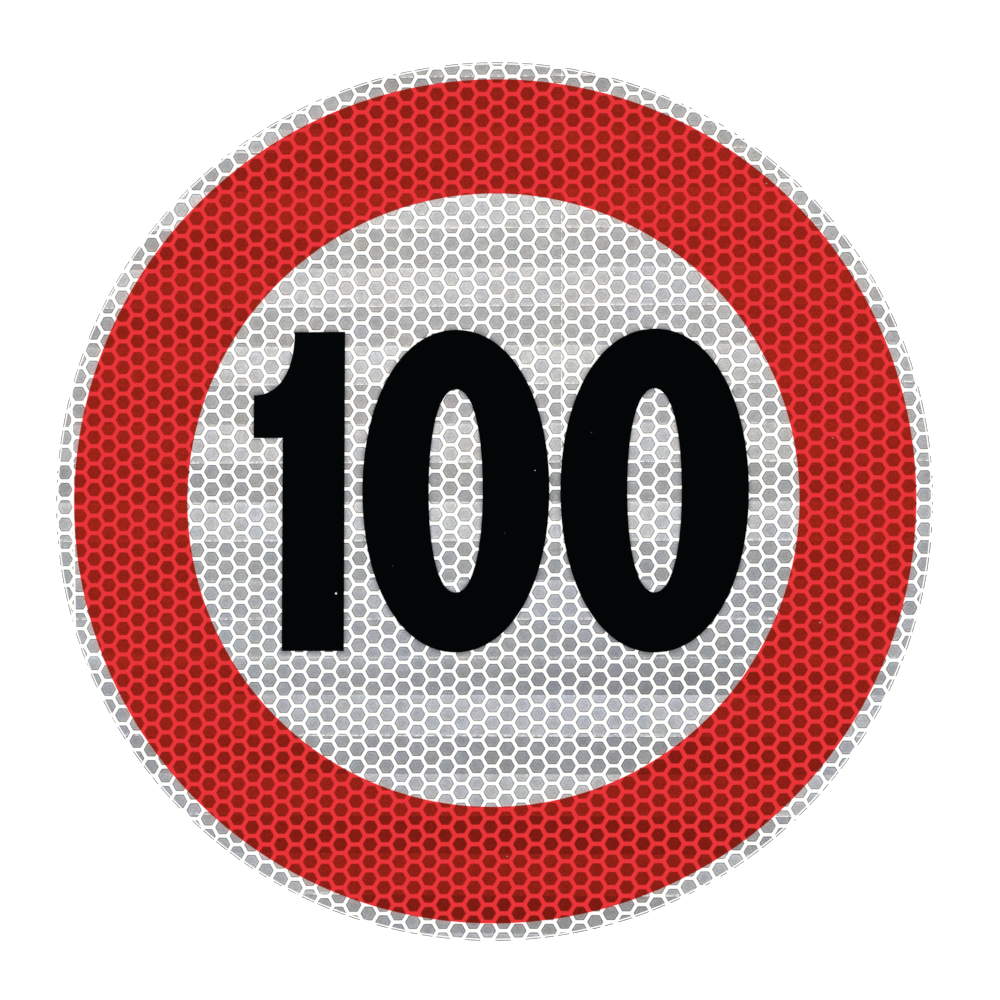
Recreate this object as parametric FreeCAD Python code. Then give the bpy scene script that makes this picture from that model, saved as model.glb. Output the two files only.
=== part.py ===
import FreeCAD, Part
import math
import os

# Round speed limit disc, cut from self-adhesive reflective sheet and still on its peel-off liner.
# Millimetres. The disc lies face up on the XY plane, +Z out of the face, +Y to the top of the numerals.
# The origin is the centre of the liner's back face.

# Disc
disc_diameter = 200.0
liner_thickness = 0.12
laminate_thickness = 0.45
ink_thickness = 0.03

# Edge left by the cutting die: a rolled-over corner and, just inside it, a shallow pressed crease
cut_edge_roll = 0.15
crease_inset = 0.42
crease_width = 0.28
crease_depth = 0.05

# The print was laid a little to the right of the middle of the disc
print_offset = 0.2

# Red border: a bare margin outside it and the plain field inside it
bare_margin = 4.0
field_diameter = 139.5

# Numerals, measured from the border's centre: the baseline's height and how far right the group sits
numeral_height = 72.85
numeral_baseline = -34.55
numeral_group_shift = 1.9
gap_one_to_zero = 4.1
gap_zero_to_zero = 2.5

# Numeral one: a stem, with a flag whose upper edge sweeps up into a narrower top
one_stem_width = 14.25
one_top_width = 11.6
one_flag_reach = 6.7
one_flag_thickness = 9.8
one_flag_drop = 14.45
one_sweep_fullness = 0.62

# Numeral zero: an oval ring, a little taller than the one so that both look the same height
zero_width = 42.7
zero_overshoot = 0.3
zero_side_stroke = 15.2
zero_end_stroke = 13.6
zero_fullness = 0.582
counter_fullness = 0.612

# Levels that the pieces share
liner_top = liner_thickness
face_level = liner_top + laminate_thickness
disc_radius = disc_diameter / 2.0
border_outer_radius = disc_radius - bare_margin
field_radius = field_diameter / 2.0

# Places of the numerals along the baseline, worked out from their widths and gaps
one_width = one_flag_reach + one_stem_width
group_width = one_width + gap_one_to_zero + zero_width + gap_zero_to_zero + zero_width
one_left = print_offset + numeral_group_shift - group_width / 2.0
tens_centre = one_left + one_width + gap_one_to_zero + zero_width / 2.0
units_centre = tens_centre + zero_width + gap_zero_to_zero


def point(x, y, z=0.0):
    return FreeCAD.Vector(x, y, z)


def line(start, end):
    return Part.LineSegment(start, end).toShape()


def bezier(*poles):
    curve = Part.BezierCurve()
    curve.setPoles(list(poles))
    return curve.toShape()


def printed_film(outline):
    """A closed flat outline on the face, made into a film of ink that stands on it."""
    return outline.extrude(point(0.0, 0.0, ink_thickness))


def release_liner():
    """The paper that covers the adhesive until the disc is used, cut through with it."""
    return Part.makeCylinder(disc_radius, liner_thickness)


def face_sheet():
    """The reflective laminate: one profile turned about the disc's axis."""
    roll = min(cut_edge_roll, laminate_thickness / 2.0)
    crease_centre = disc_radius - crease_inset
    crease_out = crease_centre + crease_width / 2.0
    crease_in = crease_centre - crease_width / 2.0
    roll_centre_r = disc_radius - roll
    roll_centre_z = face_level - roll
    roll_middle = point(
        roll_centre_r + roll * math.cos(math.pi / 4.0),
        0.0,
        roll_centre_z + roll * math.sin(math.pi / 4.0),
    )
    centre_low = point(0.0, 0.0, liner_top)
    edge_low = point(disc_radius, 0.0, liner_top)
    edge_high = point(disc_radius, 0.0, roll_centre_z)
    roll_end = point(roll_centre_r, 0.0, face_level)
    crease_start = point(crease_out, 0.0, face_level)
    crease_bottom = point(crease_centre, 0.0, face_level - crease_depth)
    crease_end = point(crease_in, 0.0, face_level)
    centre_high = point(0.0, 0.0, face_level)
    edges = [
        line(centre_low, edge_low),
        line(edge_low, edge_high),
        Part.Arc(edge_high, roll_middle, roll_end).toShape(),
    ]
    if crease_out < roll_centre_r:
        edges.append(line(roll_end, crease_start))
    edges.append(Part.Arc(crease_start, crease_bottom, crease_end).toShape())
    edges.append(line(crease_end, centre_high))
    edges.append(line(centre_high, centre_low))
    profile = Part.Face(Part.Wire(edges))
    return profile.revolve(point(0.0, 0.0), point(0.0, 0.0, 1.0), 360.0)


def red_border():
    """The see-through red ink round the field."""
    centre = point(print_offset, 0.0, face_level)
    outer = Part.makeCylinder(border_outer_radius, ink_thickness, centre)
    inner = Part.makeCylinder(field_radius, ink_thickness, centre)
    return outer.cut(inner)


def digit_one():
    """A stem with a flag on its left, whose upper edge sweeps up to the top."""
    top = numeral_baseline + numeral_height
    left = one_left
    stem_left = one_left + one_flag_reach
    right = one_left + one_width
    top_left = right - one_top_width
    sweep_low = top - one_flag_drop
    flag_low = sweep_low - one_flag_thickness
    z = face_level
    sweep_run = top_left - left
    sweep = bezier(
        point(left, sweep_low, z),
        point(left + one_sweep_fullness * sweep_run, sweep_low, z),
        point(top_left, top - one_sweep_fullness * one_flag_drop, z),
        point(top_left, top, z),
    )
    corners = [
        point(top_left, top, z),
        point(right, top, z),
        point(right, numeral_baseline, z),
        point(stem_left, numeral_baseline, z),
        point(stem_left, flag_low, z),
        point(left, flag_low, z),
        point(left, sweep_low, z),
    ]
    sides = [line(a, b) for a, b in zip(corners, corners[1:])]
    return printed_film(Part.Face(Part.Wire([sweep] + sides)))


def oval(centre_x, centre_y, half_width, half_height, fullness):
    """A closed oval of four quarter curves; a fullness of 0.552 would make it an ellipse."""
    quarters = []
    for turn in range(4):
        across = turn % 2 == 0
        start = point(half_width, 0.0) if across else point(0.0, half_height)
        end = point(0.0, half_height) if across else point(-half_width, 0.0)
        if turn >= 2:
            start = start * -1.0
            end = end * -1.0
        poles = [start, start + end * fullness, end + start * fullness, end]
        quarters.append(bezier(*[pole + point(centre_x, centre_y, face_level) for pole in poles]))
    return Part.Face(Part.Wire(quarters))


def digit_zero(centre_x):
    """An oval ring: the counter leaves a thick stroke at the sides and a thinner one at the ends."""
    half_width = zero_width / 2.0
    half_height = numeral_height / 2.0 + zero_overshoot
    centre_y = numeral_baseline + numeral_height / 2.0
    outer = oval(centre_x, centre_y, half_width, half_height, zero_fullness)
    counter = oval(
        centre_x,
        centre_y,
        half_width - zero_side_stroke,
        half_height - zero_end_stroke,
        counter_fullness,
    )
    return printed_film(outer.cut(counter))


pieces = {
    "release_liner": release_liner(),
    "face_sheet": face_sheet(),
    "red_border": red_border(),
    "digit_one": digit_one(),
    "digit_zero_tens": digit_zero(tens_centre),
    "digit_zero_units": digit_zero(units_centre),
}

os.makedirs("parts", exist_ok=True)
for name, shape in pieces.items():
    shape.exportStep("parts/" + name + ".step")
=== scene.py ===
import logging
from collections.abc import Callable
from dataclasses import dataclass, field, replace
from enum import Enum
from functools import partial

import bpy
import numpy as np
from mathutils import Matrix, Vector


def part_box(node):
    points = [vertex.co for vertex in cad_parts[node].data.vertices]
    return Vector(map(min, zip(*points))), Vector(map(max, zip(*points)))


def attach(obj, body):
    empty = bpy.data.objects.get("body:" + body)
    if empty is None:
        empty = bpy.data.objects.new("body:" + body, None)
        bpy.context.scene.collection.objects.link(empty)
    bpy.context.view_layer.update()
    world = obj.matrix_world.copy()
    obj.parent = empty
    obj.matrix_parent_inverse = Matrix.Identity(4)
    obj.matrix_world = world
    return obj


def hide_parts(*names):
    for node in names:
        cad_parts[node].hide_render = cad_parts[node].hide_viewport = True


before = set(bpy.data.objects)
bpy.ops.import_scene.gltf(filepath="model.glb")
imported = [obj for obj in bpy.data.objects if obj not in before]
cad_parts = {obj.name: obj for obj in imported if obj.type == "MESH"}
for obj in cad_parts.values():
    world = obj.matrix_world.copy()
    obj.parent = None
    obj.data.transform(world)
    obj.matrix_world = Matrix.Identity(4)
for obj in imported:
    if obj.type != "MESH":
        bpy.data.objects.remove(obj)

# A round speed limit disc of self-adhesive prismatic reflective sheeting, face up on its peel-off liner.
# Millimetres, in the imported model's own frame: +Z out of the face, +Y to the top of the numerals.

LOG = logging.getLogger("speed_limit_disc")
MM = 0.001
BODY = "root"

# Levels of the layers, as the solids have them
LINER_TOP = 0.12
FACE_LEVEL = 0.57
INK_TOP = 0.60

# A point this near a cutting line counts as on it
ON_LINE = 1e-4

Level = Callable[[np.ndarray], np.ndarray]
Terms = tuple[tuple[float, ...], ...]
Socket = bpy.types.NodeSocket
Add = Callable[..., Socket]


# Colour

def to_linear(values: np.ndarray) -> np.ndarray:
    """Turns sRGB values from 0 to 1 into linear light, by the sRGB curve taken backwards."""
    return np.where(values <= 0.04045, values / 12.92, ((values + 0.055) / 1.055) ** 2.4)


def linear(colour: str) -> tuple[float, float, float, float]:
    """Turns an sRGB hex colour, such as #B7B5B2, into linear red, green and blue and an alpha of 1."""
    parts = np.array([int(colour[k:k + 2], 16) for k in (1, 3, 5)]) / 255.0
    return (*to_linear(parts).tolist(), 1.0)


# Surfaces

class Zone(Enum):
    """What a face shows, which picks its finish among a piece's own."""

    SEAL = 0
    PRISM = 1
    CUT = 2
    BACK = 3


def radius(points: np.ndarray) -> np.ndarray:
    """Distance of each point from the disc's axis."""
    return np.hypot(points[:, 0], points[:, 1])


def circle(size: float, centre_x: float = 0.0) -> Level:
    """A level that is below zero inside a circle, whose centre may lie beside the axis."""
    return lambda points: np.hypot(points[:, 0] - centre_x, points[:, 1]) - size


def beyond(axis: int, place: float) -> Level:
    """A level that rises through zero where a point passes that place along the axis."""
    return lambda points: points[:, axis] - place


def cubic(terms: Terms, points: np.ndarray) -> np.ndarray:
    """The sum of terms times x to their row's power and y to their column's, in hundreds of millimetres."""
    return np.polynomial.polynomial.polyval2d(*points[:, :2].T / 100.0, np.array(terms))


@dataclass
class Surface:
    """A surface of triangles, with named measures at its points that the finishes read."""

    points: np.ndarray
    triangles: np.ndarray
    zones: np.ndarray
    measures: dict[str, np.ndarray] = field(default_factory=dict)

    def centroids(self) -> np.ndarray:
        """The middle of each triangle."""
        return self.points[self.triangles].mean(axis=1)

    def cut(self, level: Level) -> "Surface":
        """Splits the triangles that a level's zero line crosses, so that the line runs along edges.

        A crossed triangle has one corner alone on its side, or on the line. A new point stands on each
        crossed edge where the level is zero, and every measure is shared out in the same proportion.

        Args:
            level: Gives each point a value, zero on the line.

        Returns:
            The surface, with the crossed triangles in two or three parts.
        """
        value = level(self.points)
        value = np.where(np.abs(value) < ON_LINE, 0.0, value)
        signs = np.sign(value).astype(int)[self.triangles]
        crossed = (signs.min(axis=1) < 0) & (signs.max(axis=1) > 0)
        if not crossed.any():
            return self
        split, signs = self.triangles[crossed], signs[crossed]
        alone = -signs.sum(axis=1)
        first = np.argmax(signs == alone[:, None], axis=1)
        a, b, c = np.take_along_axis(split, (first[:, None] + np.arange(3)) % 3, axis=1).T
        on, off = alone == 0, alone != 0
        pairs = np.concatenate([
            np.stack([p[mask], q[mask]], axis=1) for p, q, mask in ((a, b, off), (a, c, off), (b, c, on))])
        edges, which = np.unique(np.sort(pairs, axis=1), axis=0, return_inverse=True)
        ab, ac, bc = np.split(which.ravel() + len(self.points), [off.sum(), 2 * off.sum()])
        share = self._zero_share(level, edges, value)
        start, end = edges.T
        added = self.points[start] + share[:, None] * (self.points[end] - self.points[start])
        measures = {
            name: np.concatenate([held, held[start] + share * (held[end] - held[start])])
            for name, held in self.measures.items()
        }
        parts = [
            ((a[off], ab, ac), off), ((ab, b[off], c[off]), off), ((ab, c[off], ac), off),
            ((a[on], b[on], bc), on), ((a[on], bc, c[on]), on),
        ]
        zones = self.zones[crossed]
        return Surface(
            np.concatenate([self.points, added]),
            np.concatenate([self.triangles[~crossed]] + [np.stack(corners, axis=1) for corners, _ in parts]),
            np.concatenate([self.zones[~crossed]] + [zones[mask] for _, mask in parts]),
            measures,
        )

    def _zero_share(self, level: Level, edges: np.ndarray, value: np.ndarray) -> np.ndarray:
        """How far along each edge the level is zero, by repeated straight-line estimates between its ends.

        Args:
            level: Gives each point a value.
            edges: Pairs of points whose values have opposite signs.
            value: The level at every point.

        Returns:
            A share for each edge, from 0 at its start to 1 at its end.
        """
        start, step = self.points[edges[:, 0]], self.points[edges[:, 1]] - self.points[edges[:, 0]]
        low, high = np.zeros(len(edges)), np.ones(len(edges))
        value_low, value_high = value[edges].T
        share = low
        for _ in range(4):
            share = low + (high - low) * value_low / (value_low - value_high)
            now = level(start + share[:, None] * step)
            same = np.sign(now) == np.sign(value_low)
            low, value_low = np.where(same, share, low), np.where(same, now, value_low)
            high, value_high = np.where(same, high, share), np.where(same, value_high, now)
            value_low = np.where(np.abs(value_low) < 1e-9, np.sign(value_low) * 1e-9 + 1e-12, value_low)
        return share

    def keep(self, chosen: np.ndarray) -> "Surface":
        """Keeps the chosen triangles and the points that they use."""
        used, renumbered = np.unique(self.triangles[chosen], return_inverse=True)
        return Surface(self.points[used], renumbered.reshape(-1, 3), self.zones[chosen],
                       {name: held[used] for name, held in self.measures.items()})

    def border(self) -> tuple[np.ndarray, np.ndarray]:
        """The edges that belong to one triangle only.

        Returns:
            The edges as pairs of points, with the surface on their left, and the triangle of each.
        """
        n = len(self.points)
        sides = np.concatenate([self.triangles[:, pair] for pair in ([0, 1], [1, 2], [2, 0])])
        owner = np.tile(np.arange(len(self.triangles)), 3)
        alone = ~np.isin(sides[:, 0] * n + sides[:, 1], sides[:, 1] * n + sides[:, 0])
        return sides[alone], owner[alone]

    def thickened(self, underside: np.ndarray) -> "Surface":
        """Closes the surface into a film: a copy of it below, turned over, and walls between the borders.

        Args:
            underside: The height of the lower copy at each point.

        Returns:
            The closed film, whose new faces are its back.
        """
        n = len(self.points)
        a, b = self.border()[0].T
        walls = [np.stack(corners, axis=1) for corners in ((a, a + n, b + n), (a, b + n, b))]
        added = [self.triangles[:, ::-1] + n] + walls
        return Surface(
            np.concatenate([self.points, np.column_stack([self.points[:, :2], underside])]),
            np.concatenate([self.triangles] + added),
            np.concatenate([self.zones, np.full(sum(map(len, added)), Zone.BACK.value)]),
            {name: np.tile(held, 2) for name, held in self.measures.items()},
        )


@dataclass(frozen=True)
class Honeycomb:
    """The six-sided cells of the sheeting, held apart by the seal's walls.

    A cell's ring is a hexagon with flat top and bottom and slightly clipped corners. The web was
    stretched a little unevenly, so the cells drift up to 2 mm from a regular grid.
    """

    pitch: float = 3.967
    anchor_y: float = 68.212
    drift_across: Terms = (
        (1.073, 0.72, -0.611, 0.16), (0.13, 0.487, 0.365, 0.0),
        (0.741, -1.544, 0.0, 0.0), (-0.063, 0.0, 0.0, 0.0))
    drift_up: Terms = (
        (-0.334, -0.17, 1.117, 0.161), (0.162, -0.76, -0.158, 0.0),
        (0.119, 0.014, 0.0, 0.0), (0.013, 0.0, 0.0, 0.0))
    seal_width: float = 0.785
    corner_clip: float = 0.15
    bevel: float = 0.24
    relief: float = 0.03
    seed: int = 41

    def around(self, reach: float, spare: float = 3.0) -> Surface:
        """The cells under a disc of that radius, and a little beyond."""
        return self.surface(np.full(2, -reach - spare), np.full(2, reach + spare))

    def surface(self, low: np.ndarray, high: np.ndarray) -> Surface:
        """The cells whose centres lie in a box, as one surface at height 0.

        Column i is i times the pitch times half the root of 3 across, and each odd column is half a
        pitch up. A cell's six wall points, shared with its neighbours, lie at the pitch over the root
        of 3 from its centre. Its own points are twelve on the ring, at half the pitch less half the
        seal's width, twelve on the floor, one bevel further in, and the centre.

        Args:
            low: Least x and y of a centre.
            high: Greatest x and y of a centre.

        Returns:
            The surface, with each point's inset from its cell's edge, its rise in the cell from -1 to 1,
            and the cell's own tone and hue.
        """
        # Rows and columns enough to pass the box on every side
        count = int(np.abs([low, high]).max() / self.pitch * 1.5) + 30
        i, j = (grid.ravel() for grid in np.meshgrid(np.arange(-count, count), np.arange(-count, count)))
        flat = np.stack([i * self.pitch * np.sqrt(3.0) / 2.0, (j + 0.5 * (i % 2)) * self.pitch], axis=1)
        centres = self._placed(flat)
        inside = ((centres >= low) & (centres <= high)).all(axis=1)
        flat, n = flat[inside], inside.sum()
        turns = np.radians(60.0) * np.arange(6)
        walls = self.pitch / np.sqrt(3.0) * np.stack([np.cos(turns), np.sin(turns)], axis=1)
        edge_inset = (self.pitch - self.seal_width) / 2.0
        own = np.concatenate([self._ring(edge_inset), self._ring(edge_inset - self.bevel), np.zeros((1, 2))])

        # Neighbours share the points that have the same place, in thirds of a column and halves of a pitch
        wall_points = (flat[:, None] + walls).reshape(-1, 2)
        keys = np.round(wall_points / self.pitch * (np.sqrt(12.0), 2.0)).astype(int)
        _, kept, shared = np.unique(keys, axis=0, return_index=True, return_inverse=True)
        wall_points = wall_points[kept]
        m, each = len(wall_points), len(own)
        own_numbers = m + each * np.arange(n)[:, None] + np.arange(each)
        numbers = np.concatenate([shared.reshape(n, 6), own_numbers], axis=1)
        pattern, zones = self._cell_pattern()
        placed = self._placed(np.concatenate([wall_points, (flat[:, None] + own).reshape(-1, 2)]))
        own_inset = np.repeat([0.0, self.bevel, edge_inset], [12, 12, 1])
        inset = np.concatenate([np.full(m, -self.seal_width / 2.0), np.tile(own_inset, n)])
        draws = np.clip(np.random.default_rng(self.seed).normal(0.0, 1.0, (2, n)), -2.0, 2.0)
        none = np.zeros(m)
        return Surface(
            np.column_stack([placed, np.where(inset > 0.0, -self.relief, 0.0)]),
            numbers[:, pattern].reshape(-1, 3),
            np.tile(zones, n),
            {
                "inset_mm": inset,
                "cell_tone": np.concatenate([none, np.repeat(draws[0], each)]),
                "cell_hue": np.concatenate([none, np.repeat(draws[1], each)]),
                "cell_rise": np.concatenate([none, np.tile(own[:, 1] / edge_inset, n)]),
            },
        )

    def _placed(self, flat: np.ndarray) -> np.ndarray:
        """Moves places on the regular grid to where the stretched web has them, by a cubic each way."""
        laid = flat + np.array([0.0, self.anchor_y])
        return laid + np.stack([cubic(self.drift_across, laid), cubic(self.drift_up, laid)], axis=1)

    def _ring(self, inset: float) -> np.ndarray:
        """Twelve points on a hexagon: two on each flat side, a clip short of its corners.

        Args:
            inset: Distance of the flat sides from the centre.

        Returns:
            The points, anticlockwise from the side that faces 30 degrees.
        """
        turns = np.radians(60.0) * np.arange(6) + np.radians(30.0)
        out = np.stack([np.cos(turns), np.sin(turns)], axis=1)
        along = np.stack([-np.sin(turns), np.cos(turns)], axis=1)
        half = inset / np.sqrt(3.0) - self.corner_clip
        return np.stack([inset * out - half * along, inset * out + half * along], axis=1).reshape(12, 2)

    @staticmethod
    def _cell_pattern() -> tuple[np.ndarray, np.ndarray]:
        """The triangles of one cell, by its own numbering, and the zone of each.

        Points 0 to 5 are the wall's, 6 to 17 the ring's, 18 to 29 the floor's and 30 the centre.

        Returns:
            The triangles and their zones.
        """
        corner, ring = np.arange(6), np.arange(6, 18)
        next_corner, ring_next = (corner + 1) % 6, 6 + (ring - 5) % 12
        near, far, after = 6 + 2 * corner, 7 + 2 * corner, 6 + 2 * next_corner
        parts = [
            (corner, next_corner, far), (corner, far, near), (next_corner, after, far),
            (ring, ring_next, ring_next + 12), (ring, ring_next + 12, ring + 12),
            (ring + 12, ring_next + 12, np.full(12, 30)),
        ]
        triangles = np.concatenate([np.stack(part, axis=1) for part in parts])
        return triangles, np.repeat([Zone.SEAL.value, Zone.PRISM.value], [18, 36])


# Outlines of the numerals

@dataclass(frozen=True)
class Oval:
    """A closed oval of four quarter curves; a fullness of 0.552 would make it an ellipse."""

    centre: tuple[float, float]
    half_width: float
    half_height: float
    fullness: float

    def level(self, points: np.ndarray) -> np.ndarray:
        """Distance from the centre less the oval's own radius in that direction.

        The quarter curve is a cubic from the side to the top, whose handles are the fullness times the
        half height and the half width long. Its radius is read at the point's direction, folded into
        one quarter.

        Args:
            points: Points in the plane of the face.

        Returns:
            One value a point, below zero inside.
        """
        t = np.linspace(0.0, 1.0, 400)
        side = (1.0 - t) ** 3 + 3.0 * (1.0 - t) ** 2 * t + 3.0 * self.fullness * (1.0 - t) * t ** 2
        rise = t ** 3 + 3.0 * (1.0 - t) * t ** 2 + 3.0 * self.fullness * (1.0 - t) ** 2 * t
        curve_x, curve_y = self.half_width * side, self.half_height * rise
        dx, dy = np.abs(points[:, :2] - np.array(self.centre)).T
        own = np.interp(np.arctan2(dy, dx), np.arctan2(curve_y, curve_x), np.hypot(curve_x, curve_y))
        return np.hypot(dx, dy) - own


@dataclass(frozen=True)
class Numeral:
    """The sizes that the numerals share."""

    node: str
    height: float = 72.85
    baseline: float = -34.55

    @property
    def top(self) -> float:
        """Height of the flat tops."""
        return self.baseline + self.height


@dataclass(frozen=True)
class NumeralOne(Numeral):
    """A stem with a flag on its left, whose upper edge sweeps up to a narrower top."""

    left: float = -54.375
    flag_reach: float = 6.7
    stem_width: float = 14.25
    top_width: float = 11.6
    flag_thickness: float = 9.8
    flag_drop: float = 14.45
    sweep_fullness: float = 0.62

    @property
    def right(self) -> float:
        """The stem's right side."""
        return self.left + self.flag_reach + self.stem_width

    @property
    def flag_low(self) -> float:
        """Height of the flag's lower edge."""
        return self.top - self.flag_drop - self.flag_thickness

    @property
    def sweep(self) -> Oval:
        """The hollow that shapes the flag's upper edge, a quarter oval round the upper left corner."""
        run = self.right - self.top_width - self.left
        return Oval((self.left, self.top), run, self.flag_drop, self.sweep_fullness)

    def lines(self) -> list[Level]:
        """The lines that its outline runs along.

        Returns:
            A level for each, zero on the line.
        """
        upright = [beyond(0, x) for x in (self.left, self.left + self.flag_reach, self.right)]
        level = [beyond(1, y) for y in (self.baseline, self.flag_low, self.top)]
        return upright + level + [self.sweep.level]

    def distance(self, points: np.ndarray) -> np.ndarray:
        """Rough distance outside the ink, below zero in it.

        The stem and the flag are each a box, whose distance is the greatest of those past its four
        sides. The ink is the nearer of the two, with the sweep's hollow taken from it.

        Args:
            points: Points in the plane of the face.

        Returns:
            One value a point.
        """
        x, y = points[:, 0], points[:, 1]
        stem = [self.left + self.flag_reach - x, x - self.right, self.baseline - y, y - self.top]
        flag = [self.left - x, x - self.right, self.flag_low - y, y - self.top]
        nearer = np.minimum(np.maximum.reduce(stem), np.maximum.reduce(flag))
        return np.maximum(nearer, -self.sweep.level(points))


@dataclass(frozen=True)
class NumeralZero(Numeral):
    """An oval ring, a little taller than the one, with thick sides and thinner ends."""

    centre_x: float = 0.0
    width: float = 42.7
    overshoot: float = 0.3
    side_stroke: float = 15.2
    end_stroke: float = 13.6
    outer_fullness: float = 0.582
    counter_fullness: float = 0.612

    @property
    def outer(self) -> Oval:
        """The outside of the ring."""
        middle, half_height = self.baseline + self.height / 2.0, self.height / 2.0 + self.overshoot
        return Oval((self.centre_x, middle), self.width / 2.0, half_height, self.outer_fullness)

    @property
    def counter(self) -> Oval:
        """The opening in the ring."""
        ring = self.outer
        return Oval(ring.centre, ring.half_width - self.side_stroke, ring.half_height - self.end_stroke,
                    self.counter_fullness)

    def lines(self) -> list[Level]:
        """The lines that its outline runs along."""
        return [self.outer.level, self.counter.level]

    def distance(self, points: np.ndarray) -> np.ndarray:
        """Rough distance outside the ink, below zero in it: past the ring or into its opening."""
        return np.maximum(self.outer.level(points), -self.counter.level(points))


# Finishes

# What the text after a colon in a node's kind sets, where it isn't the operation
AFTER_COLON = {"Mix": "data_type", "Attribute": "attribute_name", "MapRange": "interpolation_type"}

# Which inputs and output are used, by kind, where they aren't the first ones. A mix's are its factor and
# its two values.
IN_USE = {"Mix": ((0, 2, 3), 0), "Mix:RGBA": ((0, 6, 7), 2), "Attribute": ((), "Fac")}

# Multiplied with a point, it leaves the place on the flat disc
FLAT = (1.0, 1.0, 0.0)

# What a noise texture mostly keeps within
NOISE_RANGE = (0.25, 0.75)


def add_node(tree: bpy.types.NodeTree, kind: str, *values: object, output: int | str = 0,
             **named: object) -> Socket | None:
    """Adds one node with its settings, values and links.

    Args:
        tree: The material's or world's nodes.
        kind: Its type without ShaderNode and, after a colon, its operation or what AFTER_COLON says. In
            capitals it is the operation of a Math node.
        values: For each input in turn, a socket to link or a value to set.
        output: The output to hand back, by name or number.
        named: The same for inputs by name, with a capital, and the node's settings, without. The setting
            stops gives a colour ramp's places and values, and stepped makes it change in steps.

    Returns:
        The chosen output, if it has any.
    """
    plain, _, main = ("Math:" + kind if kind.isupper() else kind).partition(":")
    node = tree.nodes.new("ShaderNode" + plain)
    if main:
        setattr(node, AFTER_COLON.get(plain, "operation"), main)
    stops, stepped = named.pop("stops", ()), named.pop("stepped", False)
    if stops:
        ramp = node.color_ramp
        ramp.interpolation = "CONSTANT" if stepped else "LINEAR"
        while len(ramp.elements) < len(stops):
            ramp.elements.new(1.0)
        for element, (position, value) in zip(ramp.elements, stops):
            element.position, element.color = position, (value, value, value, 1.0)
    places, output = IN_USE.get(kind, IN_USE.get(plain, (range(len(values)), output)))
    for name, value in (named | dict(zip(places, values))).items():
        if isinstance(value, Socket):
            tree.links.new(value, node.inputs[name])
        elif isinstance(name, str) and name[0].islower():
            setattr(node, name, value)
        else:
            node.inputs[name].default_value = value
    return node.outputs[output] if node.outputs else None


def mottle(add: Add, place: Socket, size: float, spread: float) -> Socket:
    """A soft mottling: a factor that strays from 1 by the spread, in patches of that size in millimetres."""
    noise = add("TexNoise", Vector=place, Scale=1.0 / size, Detail=2.0, Roughness=0.5)
    return add("MapRange", noise, *NOISE_RANGE, 1.0 - spread, 1.0 + spread)


@dataclass(frozen=True)
class Finish:
    """A material: one colour in soft patches on an even surface, where its kind doesn't say otherwise.

    The patches' size and a bump's depth are in millimetres.
    """

    name: str
    main: str
    patch_size: float = 0.5
    patch_spread: float = 0.0
    roughness: float = 0.4
    ior: float = 1.5
    specular: float = 0.5
    coat: float = 0.0
    coat_roughness: float = 0.1
    glow: float = 0.0
    bump: float = 0.2
    bump_depth: float = 0.02

    def colour(self, add: Add, place: Socket) -> Socket | tuple[float, ...]:
        """The colour at a point in millimetres."""
        return linear(self.main)[:3]

    def height(self, add: Add, place: Socket) -> Socket | None:
        """The height that bumps the surface, if it isn't even."""
        return None

    def build(self) -> bpy.types.Material:
        """Makes the material.

        Returns:
            The material, coloured by the point on the object.
        """
        material = bpy.data.materials.new(self.name)
        material.use_nodes = True
        material.node_tree.nodes.clear()
        add = partial(add_node, material.node_tree)
        place = add("VectorMath:SCALE", add("TexCoord", output="Object"), Scale=1.0 / MM)
        colour, height = self.colour(add, place), self.height(add, place)
        if self.patch_spread:
            patches = mottle(add, place, self.patch_size, self.patch_spread)
            colour = add("VectorMath:SCALE", colour, Scale=patches)
        inputs = {
            "Base Color": colour, "Roughness": self.roughness, "IOR": self.ior,
            "Specular IOR Level": self.specular, "Coat Weight": self.coat,
            "Coat Roughness": self.coat_roughness, "Emission Strength": self.glow}
        if height is not None:
            inputs["Normal"] = add("Bump", Strength=self.bump, Distance=self.bump_depth * MM, Height=height)
        add("OutputMaterial", add("BsdfPrincipled", **inputs))
        return material


@dataclass(frozen=True)
class UnderFilm(Finish):
    """A material seen through clear film, which alone has a gloss."""

    specular: float = 0.0
    coat: float = 0.8


@dataclass(frozen=True)
class WhiteSeal(UnderFilm):
    """Polyester backing film welded to the prisms, pigmented white and seen through the clear face film.

    To the eye it is a clean, near-white line with a soft gloss from the face film over it, and it is
    a touch greyer along its middle, where the weld is thickest.
    """

    name: str = "white_seal_under_clear_acrylic"
    main: str = "#ECECEA"
    weld: str = "#E4E4E2"
    patch_spread: float = 0.012
    roughness: float = 0.45
    ior: float = 1.49
    bump: float = 0.15

    def colour(self, add: Add, place: Socket) -> Socket:
        """White, greyer towards the middle of a wall."""
        middle = add("MapRange", add("Attribute:inset_mm"), -0.15, -0.38, 0.0, 1.0)
        return add("Mix:RGBA", middle, linear(self.main), linear(self.weld))

    def height(self, add: Add, place: Socket) -> Socket:
        """A soft ripple."""
        return add("TexNoise", Vector=place, Scale=0.7, Detail=1.0)


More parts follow.
